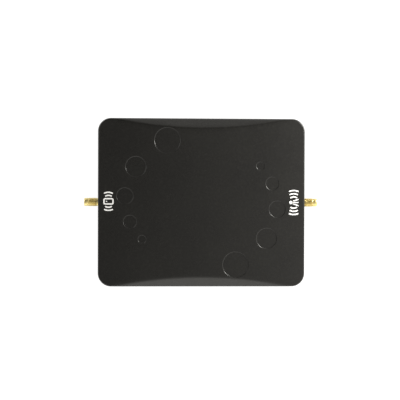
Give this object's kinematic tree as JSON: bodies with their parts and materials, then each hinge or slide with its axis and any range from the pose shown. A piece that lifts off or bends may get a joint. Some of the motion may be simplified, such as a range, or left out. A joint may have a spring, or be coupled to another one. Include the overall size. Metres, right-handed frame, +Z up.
{
  "type": "cellular signal booster",
  "caption": "Low, arched plastic case with a screwed base, circuit board, DC inlet and a threaded SMA antenna jack in each end.",
  "frame": {"origin": "under the middle of the case, on the surface that the rubber feet stand on", "axes": "+X from the indoor port to the outdoor port, +Y across the case away from the power inlet, +Z up"},
  "size_m": [0.1706, 0.1216, 0.0291],
  "materials": {
    "case_plastic": "satin black moulded plastic with a fine even texture",
    "jack_plastic": "plain black moulding",
    "screw_steel": "zinc plated",
    "foot_rubber": "dull black",
    "label_film": "printed white film, blank",
    "board_laminate": "green solder mask",
    "plate_aluminium": "milled",
    "pad_silicone": "soft, dull",
    "gold_plate": "gold plated, polished",
    "ptfe": "waxy white",
    "silvered_ceramic": "fired silver on ceramic",
    "can_steel": "tin plated sheet",
    "chip_package": "moulded epoxy",
    "filter_lid": "plated lid",
    "ferrite": "pressed ferrite",
    "capacitor_sleeve": "shrunk sleeve",
    "nickel_contact": "nickel plated",
    "led_lens": "clear resin",
    "clear_acrylic": "polished, clear"
  },
  "bodies": {
    "booster": {"top_cover": "case_plastic", "base_cover": "case_plastic", "cover_screw_1": "screw_steel", "cover_screw_2": "screw_steel", "cover_screw_3": "screw_steel", "cover_screw_4": "screw_steel", "board_screw_1": "screw_steel", "board_screw_2": "screw_steel", "board_screw_3": "screw_steel", "board_screw_4": "screw_steel", "rubber_foot_1": "foot_rubber", "rubber_foot_2": "foot_rubber", "rubber_foot_3": "foot_rubber", "rubber_foot_4": "foot_rubber", "rating_label": "label_film", "main_board": "board_laminate", "heat_spreader_plate": "plate_aluminium", "thermal_pad": "pad_silicone", "indoor_sma_body": "gold_plate", "indoor_sma_insulator": "ptfe", "indoor_sma_contact": "gold_plate", "outdoor_sma_body": "gold_plate", "outdoor_sma_insulator": "ptfe", "outdoor_sma_contact": "gold_plate", "indoor_duplexer": "silvered_ceramic", "outdoor_duplexer": "silvered_ceramic", "uplink_shield_can": "can_steel", "downlink_shield_can": "can_steel", "uplink_low_noise_amplifier": "chip_package", "downlink_low_noise_amplifier": "chip_package", "uplink_saw_filter": "filter_lid", "downlink_saw_filter": "filter_lid", "uplink_power_amplifier": "chip_package", "downlink_power_amplifier": "chip_package", "controller_chip": "chip_package", "crystal_oscillator": "can_steel", "voltage_regulator": "chip_package", "power_inductor": "ferrite", "input_capacitor": "capacitor_sleeve", "output_capacitor": "capacitor_sleeve", "dc_jack_housing": "jack_plastic", "dc_jack_centre_pin": "nickel_contact", "status_led_1": "led_lens", "status_led_2": "led_lens", "light_pipe_1": "clear_acrylic", "light_pipe_2": "clear_acrylic"},
    "jack_spring": {"dc_jack_sleeve_spring": "nickel_contact"}
  },
  "joints": [
    {"name": "sleeve_contact_flex", "type": "hinge", "parent": "booster", "child": "jack_spring", "pos_m": [-0.0607, -0.027, 0.01105], "axis": [0, -1, 0], "range_deg": [0, 3.3], "stiffness_Nm_per_rad": 0.1}
  ]
}
